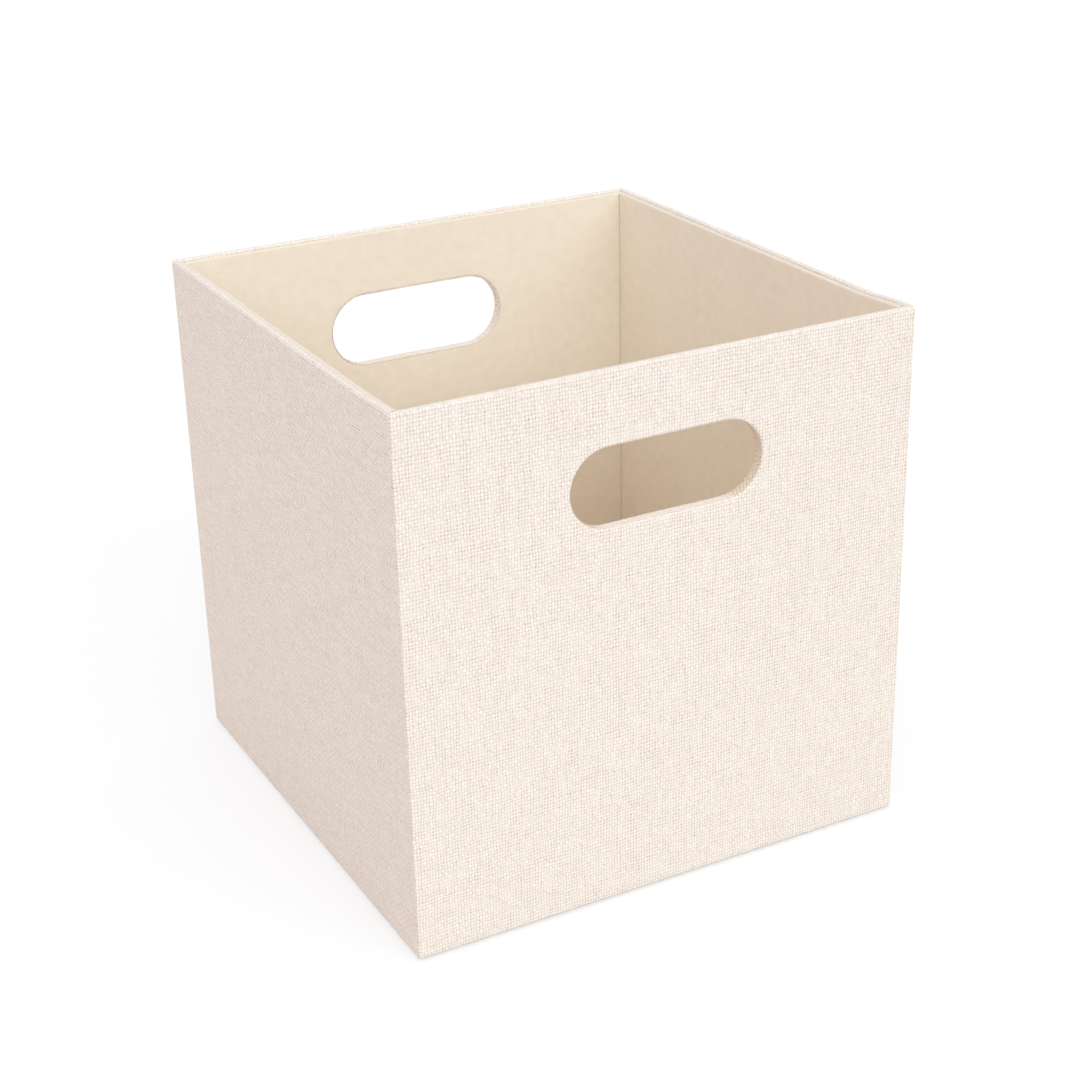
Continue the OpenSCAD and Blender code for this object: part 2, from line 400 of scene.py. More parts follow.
def cover_columns(side):
    """Columns along a wall: place, which end they turn at and how far round its corner, 90 on the face."""
    half = half_run(side)
    reach = half - CORNER_R
    if side in ENDS:
        count = int(round(2 * reach / COLUMN / 2)) * 2
        place = np.linspace(-reach, reach, count + 1)
        angles = np.linspace(0, 90, 7)[:-1]
        place = np.concatenate([np.full(6, -reach), place, np.full(6, reach)])
        angle = np.concatenate([angles, np.full(count + 1, 90.0), angles[::-1]])
        return place, angle
    near = np.array([0, 0.12, 0.3, 0.55]) * MM
    reach -= SEAM_GAP
    count = int(round(2 * reach / COLUMN / 2)) * 2
    even_part = np.linspace(-reach, reach, count + 1)[1:-1]
    even_part = even_part[np.abs(even_part) < reach - 0.8 * MM]
    place = np.concatenate([-reach + near, even_part, (reach - near)[::-1]])
    return place, np.full(len(place), 90.0)


def swept(rows, v, place, angle, half, gap, radius):
    """Grids of the shown side, the back, the normals and the flat cut of a profile swept along a wall."""
    grids = []
    sign = np.sign(place)[None]
    cos, sin = np.cos(np.radians(angle))[None], np.sin(np.radians(angle))[None]
    normal_d, normal_z = rows[:, 2:3], rows[:, 3:4]
    for back in (0, 1):
        depth = rows[:, 0:1] - back * rows[:, 4:5] * normal_d
        height = rows[:, 1:2] - back * rows[:, 4:5] * normal_z
        limit = half - np.maximum(radius, depth) - gap
        turn = np.maximum(radius - depth, 0)
        along = np.clip(place[None], -limit, limit) + sign * turn * cos
        grids.append(np.stack([along, depth + turn * (1 - sin), height + 0 * along], -1))
        if not back:
            share = turn / max(radius, 1e-9)
            flat_u = np.clip(place[None], -limit, limit)
            flat_u = flat_u + sign * radius * (RIGHT_ANGLE - np.radians(angle)) * share
            round_it = turn > 0
            normals = np.stack(
                [
                    -normal_d * sign * cos * round_it,
                    normal_d * np.where(round_it, sin, 1),
                    normal_z + 0 * along,
                ],
                -1,
            )
            from_end = limit - np.abs(np.clip(place[None], -limit, limit))
            if gap == 0:
                from_end = from_end + radius * np.radians(angle) * share
    flat = np.stack([flat_u, v[:, None] + 0 * flat_u], -1)
    return grids[0], grids[1], normals, flat, from_end


def bowed(points, side):
    """Points moved outward as the cloth stands off the middle of its wall, less and less further in."""
    half = half_run(side)
    along, depth, height = points[..., 0], points[..., 1], points[..., 2]
    held = np.interp(depth, BOW_DEPTHS, BOW_SHARES)
    bow = COVER_BOW[side] * (1 - (along / half) ** 2) * smooth(height, 0, 0.6 * HEIGHT) * held
    seed = 11 + SIDES[side]
    wave = RIM_WAVE * ripple(along, seed) * (1 - (along / half) ** 8)
    wave = wave * smooth(height, HEIGHT - RIM_BAND, HEIGHT - 1 * MM)
    moved = points.copy()
    moved[..., 1] -= bow
    moved[..., 2] += wave - RIM_WAVE
    moved[..., 2] = np.where(height < HEIGHT - RIM_BAND, height, moved[..., 2])
    return moved


def corner_softened(points, side):
    """Points near the two bottom corners drawn onto a ball, as the folded cloth is there."""
    radius = CORNER_BALL_R
    centre = np.array([half_run(side) - radius, radius, COVER_Z + radius])
    off = np.abs(points[..., 0]) - centre[0]
    from_centre = np.stack([off, centre[1] - points[..., 1], centre[2] - points[..., 2]], -1)
    reach = np.linalg.norm(from_centre, axis=-1)
    near = (from_centre > 0).all(-1) & (reach > radius)
    x, y, z = np.moveaxis(from_centre * (radius / np.maximum(reach, 1e-9))[..., None], -1, 0)
    drawn = np.stack([np.sign(points[..., 0]) * (centre[0] + x), centre[1] - y, centre[2] - z], -1)
    return np.where(near[..., None], drawn, points)


def hole_frame(numbers, flat, place, keep, top, low):
    """Clears a grid inside the frame of the hand hole.

    Returns the numbers of the points round the frame, in order, and their places on the flat cut.
    """
    left = int(np.argmin(np.abs(place + FRAME_REACH)))
    right = int(np.argmin(np.abs(place - FRAME_REACH)))
    keep[top:low, left:right] = False
    loop = np.concatenate(
        [
            numbers[top, left:right],
            numbers[top:low, right],
            numbers[low, right:left:-1],
            numbers[low:top:-1, left],
        ]
    )
    return loop, flat.reshape(-1, 2)[loop]


def hole_rings(at, rows, run, blend_rows):
    """Rings of points from the frame of the hand hole to its outline and on through the wall.

    at holds the frame's points as (along, height), rows the profile from the outline on, as (offset
    outward from the clear outline, depth), and blend_rows the shares of the way in to the outline.
    """
    middle = np.column_stack([np.clip(at[:, 0], -HOLE_STRAIGHT, HOLE_STRAIGHT), np.full(len(at), HOLE_Z)])
    away = at - middle
    reach = np.linalg.norm(away, axis=1)
    away = away / reach[:, None]
    start = HOLE_R + rows[0, 0]
    grids = {"shown": [], "back": [], "flat": [], "normal": []}

    def ring(offset_shown, depth_shown, offset_back, depth_back, flat_reach, normal):
        for key, offset, depth in (("shown", offset_shown, depth_shown), ("back", offset_back, depth_back)):
            place = middle + away * np.reshape(offset, (-1, 1))
            grids[key].append(np.column_stack([place[:, 0], np.full(len(at), depth), place[:, 1]]))
        grids["flat"].append(middle + away * np.reshape(flat_reach, (-1, 1)))
        grids["normal"].append(
            np.column_stack([away[:, 0] * normal[0], np.full(len(at), normal[1]), away[:, 1] * normal[0]])
        )

    face_depth, thickness, facing = rows[0, 1], rows[0, 4], rows[0, 3]
    for share in blend_rows:
        there = reach + share * (start - reach)
        ring(there, face_depth, there, face_depth - thickness * facing, there, (0, facing))
    for (offset, depth, normal_o, normal_d, t), s in zip(rows, run):
        shown, back = HOLE_R + offset, HOLE_R + offset - t * normal_o
        ring(shown, depth, back, depth - t * normal_d, start - s, (normal_o, normal_d))
    return {key: np.array(value) for key, value in grids.items()}


def make_cover(side):
    """The woven cloth of one wall, glued over its board, and through its hand hole at the front and back."""
    rows, v, frame_row = cover_rows()
    place, angle = cover_columns(side)
    half = half_run(side)
    gap = 0 if side in ENDS else SEAM_GAP
    shown, back, normals, flat, from_end = swept(rows, v, place, angle, half, gap, CORNER_R)

    height = shown[..., 2]
    near_edge = smooth(height, HEIGHT - RELIEF_TOP_FROM, HEIGHT - RELIEF_TOP_FULL)
    near_edge = near_edge + smooth(-height, -RELIEF_FOOT_FROM, -RELIEF_FOOT_FULL)
    pushed = RELIEF * near_edge * (relief(flat) - RELIEF_LEVEL)
    dip = SEAM_DIP * np.clip(1 - from_end / SEAM_REACH, 0, 1) ** 2 * (rows[:, 0:1] < CORNER_R)
    shown = shown + normals * (pushed - dip)[..., None]

    cloth = Cloth()
    shape = lambda points: corner_softened(bowed(points, side), side)
    # Along the rim, as a negative strain: the pressed cloth, and painted shade darkening and cooling the
    # rim's top
    rim_press_and_shade = -RIM_PRESS_AND_SHADE * smooth(rows[:, 1], HEIGHT - RIM_R, HEIGHT)
    numbers = cloth.points(shape(shown), shape(back), flat, rim_press_and_shade[:, None])
    keep = np.ones((len(rows) - 1, len(place) - 1), bool)
    if side in ENDS:
        frame_end = frame_row + COVER_HOLE_ROWS - 1
        loop, at = hole_frame(numbers, flat, place, keep, frame_row, frame_end)
        edge = HOLE_EDGE_R
        profile, run = joined(
            arc((edge, edge), edge, 270, 180, 8, COVER_T),
            line((0, edge), (0, PANEL_FACE - END_R), (-1, 0), even(8), COVER_T),
            arc((END_R, PANEL_FACE - END_R), END_R, 180, 90, 5, 0.8 * END_R),
        )
        blend = 1 - np.array([0.82, 0.64, 0.48, 0.34, 0.22, 0.12, 0.05])
        rings = hole_rings(at, profile, run, blend)
        strength = np.concatenate([smooth(blend, 0.3, 0.8), np.ones(len(profile) - 3), np.zeros(3)])
        raised = RELIEF * strength[:, None] * (relief(rings["flat"]) - RELIEF_LEVEL)
        outline = np.arctan2(at[:, 1] - HOLE_Z, at[:, 0])
        uneven = HOLE_UNEVEN * ripple(outline * 0.1, 3 + SIDES[side], 9) * strength[:, None]
        rings["shown"] = rings["shown"] + rings["normal"] * (raised + uneven)[..., None]
        opened = np.concatenate([np.zeros(len(blend)), smooth(profile[:, 1], 0.2 * MM, 1.5 * MM)])
        bent = smooth(np.abs(at[:, 0]), HOLE_STRAIGHT, HOLE_STRAIGHT + 0.7 * HOLE_R)
        opened = opened[:, None] * bent * HOLE_WEAR[side]
        ring_numbers = cloth.points(shape(rings["shown"]), shape(rings["back"]), rings["flat"], opened)
        cloth.span(np.concatenate([loop[None], ring_numbers]), closed=True)
    cloth.span(numbers, keep)

    piece = cloth.build(f"woven_{side}", lambda points: risen(placed(side, points)), side not in ENDS)
    width, length, area = cloth.flat_size()
    return piece, (width, length, area)


# --------------------------------------------------
# The linings
# --------------------------------------------------

# The side panels stop short of the front and back ones, so a dark line parts them at the corner
CORNER_GAP = 0.3 * MM
LINING_END_R = 0.5 * MM
LINING_WAVE = 0.1 * MM
LINING_WAVE_BAND = 6 * MM
LINING_HOLE_ROWS = 40
HOLE_CLEAR = 0.1 * MM
HOLE_LIP = 0.3 * MM


def make_lining(side):
    """The non-woven lining of one inner panel, turned down behind the panel's top edge."""
    low, high = side_box(side, f"{side}_lining")
    back_d, face_d, foot, top = low[1], high[1], low[2], high[2]
    r, t = LINING_R, LINING_T
    rows, run = joined(
        line((back_d, top - PANEL_FOLD), (back_d, top - r), (-1, 0), 1 - eased(6)[::-1], t),
        arc((back_d + r, top - r), r, 180, 90, 7, t),
        line((back_d + r, top), (face_d - r, top), (0, 1), even(3), t),
        arc((face_d - r, top - r), r, 90, 0, 8, t),
        line((face_d, top - r), (face_d, FRAME_TOP), (1, 0), eased(12), t),
        line((face_d, FRAME_TOP), (face_d, FRAME_LOW), (1, 0), even(LINING_HOLE_ROWS), t),
        line((face_d, FRAME_LOW), (face_d, foot), (1, 0), even(60), t),
    )
    frame_row = int(np.argmin(np.abs(rows[:, 1] - FRAME_TOP) + np.abs(rows[:, 0] - face_d)))
    v = rows[frame_row, 1] + run[frame_row] - run

    half = (high[0] - low[0]) / 2 - (0 if side in ENDS else CORNER_GAP)
    near = np.array([0, 0.06, 0.15, 0.3, 0.5, 1.0]) * MM
    count = 180
    inner = np.linspace(-half, half, count + 1)[1:-1]
    place = np.concatenate([-half + near, inner[np.abs(inner) < half - 1.3 * MM], (half - near)[::-1]])
    from_end = half - np.abs(place)
    drop = np.clip(1 - from_end / LINING_END_R, 0, 1)
    drop = 0.7 * LINING_END_R * (1 - np.sqrt(1 - drop**2))

    def grid(back):
        depth = rows[:, 0:1] - back * rows[:, 4:5] * rows[:, 2:3] - (1 - back) * drop[None] * rows[:, 2:3]
        height = rows[:, 1:2] - back * rows[:, 4:5] * rows[:, 3:4] - (1 - back) * drop[None] * rows[:, 3:4]
        along = np.tile(place, (len(rows), 1))
        return np.stack([along, depth + 0 * along, height + 0 * along], -1)

    shown, back = grid(0), grid(1)
    near_top = smooth(shown[..., 2], top - LINING_WAVE_BAND, top - r)
    wave = LINING_WAVE * ripple(shown[..., 0], 70 + SIDES[side]) * near_top
    shown[..., 2] += wave - LINING_WAVE * near_top
    flat = np.stack([np.tile(place, (len(rows), 1)), np.tile(v[:, None], (1, len(place)))], -1)

    cloth = Cloth()
    # Painted shade along the top of the panel, over its fold
    top_shade = smooth(rows[:, 1], top - 0.8 * r, top - 0.2 * r)
    numbers = cloth.points(shown, back, flat, top_shade[:, None])
    keep = np.ones((len(rows) - 1, len(place) - 1), bool)
    if side in ENDS:
        frame_end = frame_row + LINING_HOLE_ROWS - 1
        loop, at = hole_frame(numbers, flat, place, keep, frame_row, frame_end)
        offset = COVER_T + HOLE_CLEAR
        profile = np.array(
            [
                [offset + HOLE_LIP, face_d, 0, 1, t],
                [offset + 0.1 * MM, face_d - 0.05 * MM, 0, 1, t - 0.05 * MM],
                [offset, face_d - 0.15 * MM, 0, 1, t - 0.15 * MM],
            ]
        )
        rings = hole_rings(at, profile, np.array([0, 0.2, 0.35]) * MM, 1 - np.array([0.7, 0.45, 0.25, 0.1]))
        ring_numbers = cloth.points(rings["shown"], rings["back"], rings["flat"])
        cloth.span(np.concatenate([loop[None], ring_numbers]), closed=True)
    cloth.span(numbers, keep)

    piece = cloth.build(f"lining_{side}", lambda points: risen(placed(side, points)))
    width, length, area = cloth.flat_size()
    return piece, (width, length, area)


# --------------------------------------------------
# The two flat pieces: the loose insert's lining and the sheet under the base
# --------------------------------------------------


TRAY_STEPS, TRAY_TURNS = 60, 5
INSERT_EDGE = 1.5 * MM


def square_loop(half, offset, steps, turns):
    """Places and directions outward, round a square grown by offset."""
    inset = min(offset, 0)
    stops = np.linspace(-half, half, steps + 1)
    angles = np.linspace(0, RIGHT_ANGLE, turns + 1)
    places, outward = [], []
    for quarter in range(4):
        angle = quarter * RIGHT_ANGLE
        c, s = math.cos(angle), math.sin(angle)
        spin = np.array([[c, -s], [s, c]])
        along = np.clip(stops, -half - inset, half + inset)
        edge = np.column_stack([along, np.full(len(along), -half - inset)])
        corner = np.tile([half + inset, -half - inset], (turns - 1, 1))
        place = np.concatenate([edge, corner]) @ spin.T
        facing = np.concatenate(
            [
                np.tile([0.0, -1.0], (len(along), 1)),
                np.column_stack([np.sin(angles[1:-1]), -np.cos(angles[1:-1])]),
            ]
        )
        places.append(place)
        outward.append(facing @ spin.T)
    return np.concatenate(places), np.concatenate(outward)


def make_tray(name, half, rows, run):
    """A square cloth: a flat middle and rings round it that follow a profile of (offset outward, height)."""
    steps, turns = TRAY_STEPS, TRAY_TURNS
    stops = np.linspace(-half, half, steps + 1)
    x, y = np.meshgrid(stops, stops)
    height, facing, thickness = rows[0, 1], rows[0, 3], rows[0, 4]
    middle = np.full_like(x, height)
    cloth = Cloth()
    shown = np.stack([x, y, middle], -1)
    back = np.stack([x, y, middle - thickness * facing], -1)
    numbers = cloth.points(shown, back, np.stack([x, y], -1))
    cloth.span(numbers)
    rings = {"shown": [], "back": [], "flat": []}
    for (offset, z, normal_o, normal_z, t), s in zip(rows, run):
        for key, o, h in (("shown", offset, z), ("back", offset - t * normal_o, z - t * normal_z)):
            place, outward = square_loop(half, o, steps, turns)
            spot = place + outward * max(o, 0)
            rings[key].append(np.column_stack([spot, np.full(len(spot), h)]))
        place, outward = square_loop(half, 0, steps, turns)
        rings["flat"].append(place + outward * s)
    numbers = cloth.points(*(np.array(rings[key]) for key in ("shown", "back", "flat")))
    cloth.span(numbers, closed=True)
    piece = cloth.build(name, lambda points: points)
    return piece, cloth.flat_size()


def make_insert():
    """The lining wrapped over the loose insert's board and turned in under it."""
    low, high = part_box("insert_lining")
    edge, r, t = INSERT_EDGE, LINING_R, LINING_T
    half = high.x - edge - r
    rows, run = joined(
        line((0, high.z), (edge, high.z), (0, 1), even(3), t),
        arc((edge, high.z - r), r, 90, 0, 7, t),
        line((edge + r, high.z - r), (edge + r, low.z + r), (1, 0), even(3), t),
        arc((edge, low.z + r), r, 0, -90, 7, t),
        line((edge, low.z), (edge + r - INSERT_FOLD, low.z), (0, -1), even(6), t),
    )
    piece, size = make_tray("insert_skin", half, rows, run)
    return piece, size


def make_underside():
    """The sheet glued under the base, over the covers' folds and up onto the board inside them."""
    low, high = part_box("underside_sheet")
    base_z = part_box("base_board")[0].z
    t = COVER_Z - low.z
    reach = half_out("front")
    step_out = FOOT_FOLD + 0.2 * MM
    half = reach - FOOT_FOLD - 2.2 * MM
    middle_z = base_z - t
    out = high.x - half
    fold = reach - step_out - half
    rows, run = joined(
        line((0, middle_z), (0.6 * MM, middle_z), (0, -1), even(2), t),
        line((0.9 * MM, 0.93 * middle_z), (fold - 0.3 * MM, 0.07 * middle_z), (0, -1), even(4), t),
        line((fold, low.z), (out - 0.2 * MM, low.z), (0, -1), even(8), t),
        line((out, low.z + 0.12 * MM), (out, low.z + 0.13 * MM), (0, -1), [0], t - 0.12 * MM),
    )
    piece, size = make_tray("underside", half, rows, run)
    return piece, size


# --------------------------------------------------
# Materials
# --------------------------------------------------

# Colours as 0 to 255 on a screen, and tints that multiply them
YARN_COLOUR = (247, 236, 227)
# Painted highlight on the crests of the floats
FLOAT_HIGHLIGHT_COLOUR = (255, 252, 248)
TAN_COLOUR = (232, 207, 186)
# Painted shade in the pits between the yarns
PIT_SHADE_COLOUR = (210, 184, 160)
TAN_SHARE = 0.22
COOL_TINT, WARM_TINT = (0.987, 1.001, 1.008, 1), (1.013, 0.997, 0.97, 1)
WORN_TINT = (0.8, 0.7, 0.54)
# Painted cool shade on the rim's top
RIM_SHADE_TINT = (0.98, 1.025, 1.04)
LINING_LIGHT = (247, 235, 220)
LINING_DARK = (243, 231, 213)

# How far yarns wander together and shake by themselves, in pitches. Scales are in waves to the metre.
WANDER, WANDER_SCALE = 1.3, 75
SHAKE, SHAKE_SCALE = 0.5, 260
SLUB_SCALE = 55
HAIR_ACROSS, HAIR_ALONG = 7000, 1200
PATCH_SCALE = 95
STREAK_SCALE = 90
WEAVE_BUMP = 0.16 * MM
EMBOSS_PITCH = 2.6 * MM
LINING_BUMP = 0.04 * MM


def linear(colour):
    """A colour given as 0 to 255 on a screen, as Blender's linear numbers."""
    unit = np.array(colour) / 255
    return (*np.where(unit <= 0.04045, unit / 12.92, ((unit + 0.055) / 1.055) ** 2.4), 1.0)


class Shader:
    """A material with one Principled shader, and short ways to add the nodes that feed it."""

    def __init__(self, name, **constants):
        self.material = bpy.data.materials.new(name)
        self.material.use_nodes = True
        self.nodes = self.material.node_tree.nodes
        self.links = self.material.node_tree.links
        self.out = self.nodes["Principled BSDF"]
        for socket, value in constants.items():
            self.out.inputs[socket.replace("_", " ")].default_value = value

    def plug(self, value, socket):
        if isinstance(value, bpy.types.NodeSocket):
            self.links.new(value, socket)
        elif value is not None:
            socket.default_value = value

    def math(self, operation, *values, clamp=False):
        node = self.nodes.new("ShaderNodeMath")
        node.operation = operation
        node.use_clamp = clamp
        for value, socket in zip(values, node.inputs):
            self.plug(value, socket)
        return node.outputs[0]

    def add(self, a, b):
        return self.math("ADD", a, b)

    def less(self, a, b):
        return self.math("SUBTRACT", a, b)

    def times(self, a, b):
        return self.math("MULTIPLY", a, b)

    def times_add(self, a, b, c):
        return self.math("MULTIPLY_ADD", a, b, c)

    def spread(self, value, amount):
        """A noise value turned to one about zero."""
        return self.math("MULTIPLY_ADD", value, amount, -amount / 2)

    def white(self, vector):
        node = self.nodes.new("ShaderNodeTexWhiteNoise")
        self.links.new(vector, node.inputs["Vector"])
        return node.outputs["Value"]

    def step(self, value, low, high, to_low=0.0, to_high=1.0):
        node = self.nodes.new("ShaderNodeMapRange")
        node.interpolation_type = "SMOOTHSTEP"
        for value, socket in zip((value, low, high, to_low, to_high), node.inputs):
            self.plug(value, socket)
        return node.outputs[0]

    def cloth(self):
        """The place on the flat cut as a vector, its two coordinates, and the strain of the cloth there,
        which also carries painted shade on the rim and along the linings' top edges.
        """
        node = self.nodes.new("ShaderNodeAttribute")
        node.attribute_name = "cloth"
        parts = self.nodes.new("ShaderNodeSeparateXYZ")
        self.links.new(node.outputs["Vector"], parts.inputs[0])
        strain = self.nodes.new("ShaderNodeAttribute")
        strain.attribute_name = "strain"
        return node.outputs["Vector"], parts.outputs[0], parts.outputs[1], strain.outputs["Fac"]

    def object_place(self):
        return self.nodes.new("ShaderNodeTexCoord").outputs["Object"]

    def vector(self, x, y, z=0.0):
        node = self.nodes.new("ShaderNodeCombineXYZ")
        for value, socket in zip((x, y, z), node.inputs):
            self.plug(value, socket)
        return node.outputs[0]

    def noise(self, vector, scale=1.0, detail=2.0, roughness=0.5):
        node = self.nodes.new("ShaderNodeTexNoise")
        inputs = {"Vector": vector, "Scale": scale, "Detail": detail, "Roughness": roughness}
        for name, value in inputs.items():
            self.plug(value, node.inputs[name])
        return node.outputs["Fac"]

    def mix(self, share, a, b):
        node = self.nodes.new("ShaderNodeMix")
        node.data_type = "RGBA"
        self.plug(share, node.inputs[0])
        self.plug(a, node.inputs[6])
        self.plug(b, node.inputs[7])
        return node.outputs[2]

    def scaled(self, colour, amount):
        node = self.nodes.new("ShaderNodeVectorMath")
        node.operation = "SCALE"
        self.plug(colour, node.inputs[0])
        self.plug(amount, node.inputs["Scale"])
        return node.outputs[0]

    def tinted(self, colour, tint):
        node = self.nodes.new("ShaderNodeVectorMath")
        node.operation = "MULTIPLY"
        self.plug(colour, node.inputs[0])
        self.plug(tint, node.inputs[1])
        return node.outputs[0]

    def bump(self, height, distance, strength=1.0):
        node = self.nodes.new("ShaderNodeBump")
        node.inputs["Strength"].default_value = strength
        node.inputs["Distance"].default_value = distance
        self.links.new(height, node.inputs["Height"])
        self.links.new(node.outputs[0], self.out.inputs["Normal"])

    def colour(self, socket):
        self.links.new(socket, self.out.inputs["Base Color"])


def woven_material():
    """Cream slubby yarn in a plain weave, with painted warm shade in the gaps between the floats and painted
    highlights on their crests.
    """
    m = Shader("woven_cloth", Roughness=0.95, Sheen_Weight=0.04, Sheen_Roughness=0.6)
    m.out.inputs["Specular IOR Level"].default_value = 0.1
    _, u, v, strain = m.cloth()

    # Yarns wander together, and each a little by itself
    warp_wander = m.noise(m.vector(u, v, 3.1), WANDER_SCALE, 2)
    weft_wander = m.noise(m.vector(u, v, 7.7), WANDER_SCALE, 2)
    warp_at = m.times_add(u, 1 / WARP_PITCH, m.spread(warp_wander, WANDER))
    weft_at = m.times_add(v, 1 / WEFT_PITCH, m.spread(weft_wander, WANDER))
    i, j = m.math("FLOOR", warp_at), m.math("FLOOR", weft_at)
    own_warp = m.noise(m.vector(m.times(i, 3.71), m.times(v, SHAKE_SCALE), 0.5), 1, 1)
    own_weft = m.noise(m.vector(m.times(u, SHAKE_SCALE), m.times(j, 3.71), 6.5), 1, 1)
    own_warp, own_weft = m.spread(own_warp, SHAKE), m.spread(own_weft, SHAKE)
    across = m.less(m.less(m.less(warp_at, i), 0.5), own_warp)
    along = m.less(m.less(m.less(weft_at, j), 0.5), own_weft)
    sign = m.times_add(m.math("FLOORED_MODULO", m.add(i, j), 2.0), -2.0, 1.0)

    # Slubs: each yarn is thin and thick by turns
    slub_warp = m.noise(m.vector(m.times(i, 5.37), m.times(v, SLUB_SCALE), 1.5), 1, 2)
    slub_weft = m.noise(m.vector(m.times(u, SLUB_SCALE), m.times(j, 5.37), 8.5), 1, 2)
    thick_warp = m.step(slub_warp, 0.3, 0.7, 0.40, 0.58)
    thick_weft = m.step(slub_weft, 0.3, 0.7, 0.42, 0.58)

    def yarn(off, half, rise):
        share = m.math("DIVIDE", off, half)
        round_top = m.math("SQRT", m.math("MAXIMUM", m.times_add(m.times(share, share), -1, 1), 0.0))
        return m.times_add(round_top, m.add(1.1, rise), -0.6)

    lift_warp = m.times(m.times(sign, 0.4), m.math("COSINE", m.times(along, math.pi)))
    lift_weft = m.times(m.times(sign, -0.4), m.math("COSINE", m.times(across, math.pi)))
    warp = yarn(across, thick_warp, lift_warp)
    weft = yarn(along, thick_weft, lift_weft)
    height = m.math("SMOOTH_MAX", warp, weft, 0.12)
    over = m.step(m.less(warp, weft), -0.15, 0.15)

    # Fibres along each yarn
    hair_warp = m.noise(m.vector(m.times(u, HAIR_ACROSS), m.times(v, HAIR_ALONG), 2.2), 1, 1)
    hair_weft = m.noise(m.vector(m.times(u, HAIR_ALONG), m.times(v, HAIR_ACROSS), 4.4), 1, 1)
    hair = m.add(m.times(over, hair_warp), m.times(m.less(1.0, over), hair_weft))

    # How much the painted shade in the gaps shows: by patches, in streaks between two yarns and by the
    # strain of the cloth
    worn = m.math("MAXIMUM", strain, 0.0)
    rim_press_and_shade = m.math("MINIMUM", strain, 0.0)
    patch = m.step(m.noise(m.vector(u, v, 5.0), PATCH_SCALE, 2), 0.3, 0.7, 0.75, 1.0)
    row_warp, row_weft = m.math("ROUND", warp_at), m.math("ROUND", weft_at)
    open_warp = m.noise(m.vector(m.times(row_warp, 4.13), m.times(v, STREAK_SCALE), 3.3), 1, 2)
    open_weft = m.noise(m.vector(m.times(u, STREAK_SCALE), m.times(row_weft, 4.13), 9.3), 1, 2)
    streak = m.step(m.times_add(open_warp, 0.65, m.times(open_weft, 0.35)), 0.36, 0.66, 0.4, 1.4)
    show = m.math("MULTIPLY_ADD", patch, streak, m.times_add(worn, 0.9, m.times(rim_press_and_shade, 0.8)), clamp=True)
    # Painted shade in the gaps: deepest where the relief is lowest
    depth = m.less(1.0, m.step(height, -0.4, 0.7))
    gap = m.times(depth, show)

    # Colour: yarn, painted highlights on the floats' crests, tan slubs, painted shade in the gaps, then tint
    # and shade
    # Painted highlight: the crests of the floats, warp floats most
    crest_highlight = m.step(height, 0.35, 1.0, 0.0, 1.0)
    single = m.white(m.vector(i, j, 0.5))
    painted_highlight = m.times(m.times(crest_highlight, m.times_add(over, 0.6, 0.4)), m.times_add(single, 0.5, 0.45))
    thread = m.mix(m.times(painted_highlight, 0.75), linear(YARN_COLOUR), linear(FLOAT_HIGHLIGHT_COLOUR))
    tan_warp = m.step(slub_warp, 0.58, 0.75)
    tan_weft = m.step(slub_weft, 0.58, 0.75)
    tan = m.add(m.times(over, tan_warp), m.times(m.less(1.0, over), tan_weft))
    thread = m.mix(m.times(tan, TAN_SHARE), thread, linear(TAN_COLOUR))
    # Painted shade in the gaps between the yarns
    colour = m.mix(gap, thread, linear(PIT_SHADE_COLOUR))
    warmth = m.add(m.noise(m.vector(u, v, 9.1), 480, 1), m.noise(m.vector(u, v, 4.1), 120, 1))
    tint = m.mix(m.step(warmth, 0.65, 1.35), COOL_TINT, WARM_TINT)
    slub = m.add(m.times(over, slub_warp), m.times(m.less(1.0, over), slub_weft))
    shade = m.add(m.times_add(hair, 0.05, 0.975), m.spread(slub, -0.06))
    shade = m.add(shade, m.spread(m.noise(m.vector(u, v, 2.6), 230, 3), 0.03))
    shade = m.add(shade, m.spread(single, 0.06))
    # Painted shade and highlight from the relief: darker where it is low, lighter on the crests
    shade = m.add(shade, m.times_add(height, 0.06, -0.04))
    shade = m.add(shade, m.times_add(over, 0.035, -0.044))
    # Painted shade on the rim's top: darker
    shade = m.add(shade, m.times(rim_press_and_shade, 0.07))
    colour = m.mix(m.times(worn, 0.6), colour, m.tinted(colour, WORN_TINT))
    # Painted shade on the rim's top: cooler
    colour = m.mix(m.times(rim_press_and_shade, -1.0), colour, m.tinted(colour, RIM_SHADE_TINT))
    m.colour(m.scaled(m.tinted(colour, tint), shade))
    m.bump(m.times_add(hair, 0.15, height), WEAVE_BUMP)
    return m.material


